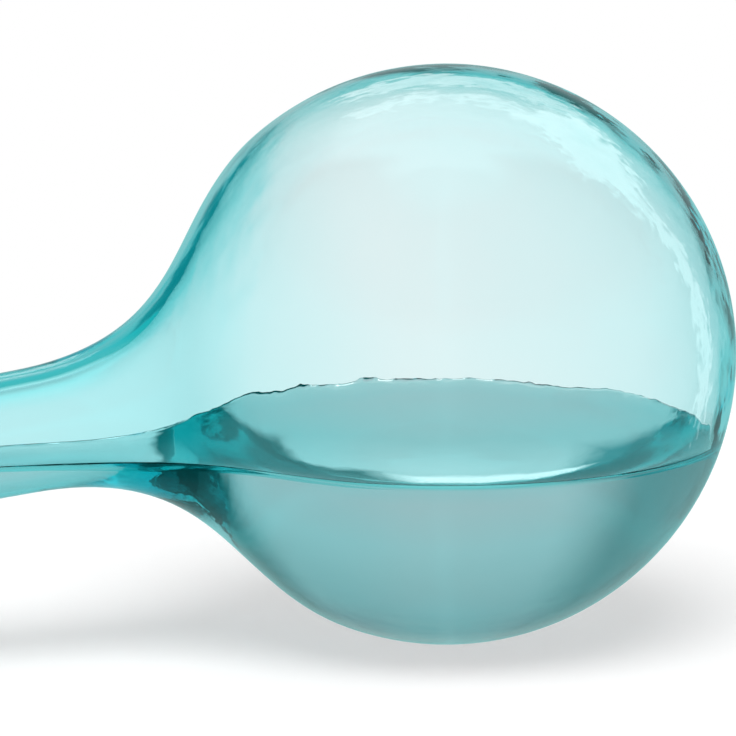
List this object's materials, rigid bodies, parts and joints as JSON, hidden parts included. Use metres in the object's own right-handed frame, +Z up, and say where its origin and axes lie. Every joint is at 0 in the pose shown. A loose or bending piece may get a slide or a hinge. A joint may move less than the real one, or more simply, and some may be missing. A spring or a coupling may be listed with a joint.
{
  "type": "watering globe",
  "caption": "Blown aqua glass plant watering globe lying on its side: round bulb, swept neck and long tapering stem with an open mouth, part filled with water.",
  "frame": {"origin": "on the ground under the middle of the globe's length and width, as it lies at rest", "axes": "+X from the mouth towards the bulb along the ground, +Z up; the globe's own axis lies in the XZ plane and slopes down towards the mouth"},
  "size_m": [0.3432, 0.085, 0.085],
  "materials": {
    "aqua_glass": "polished",
    "water": "polished"
  },
  "bodies": {
    "root": {"bulb": "aqua_glass", "stem": "aqua_glass", "water": "water"}
  },
  "joints": []
}
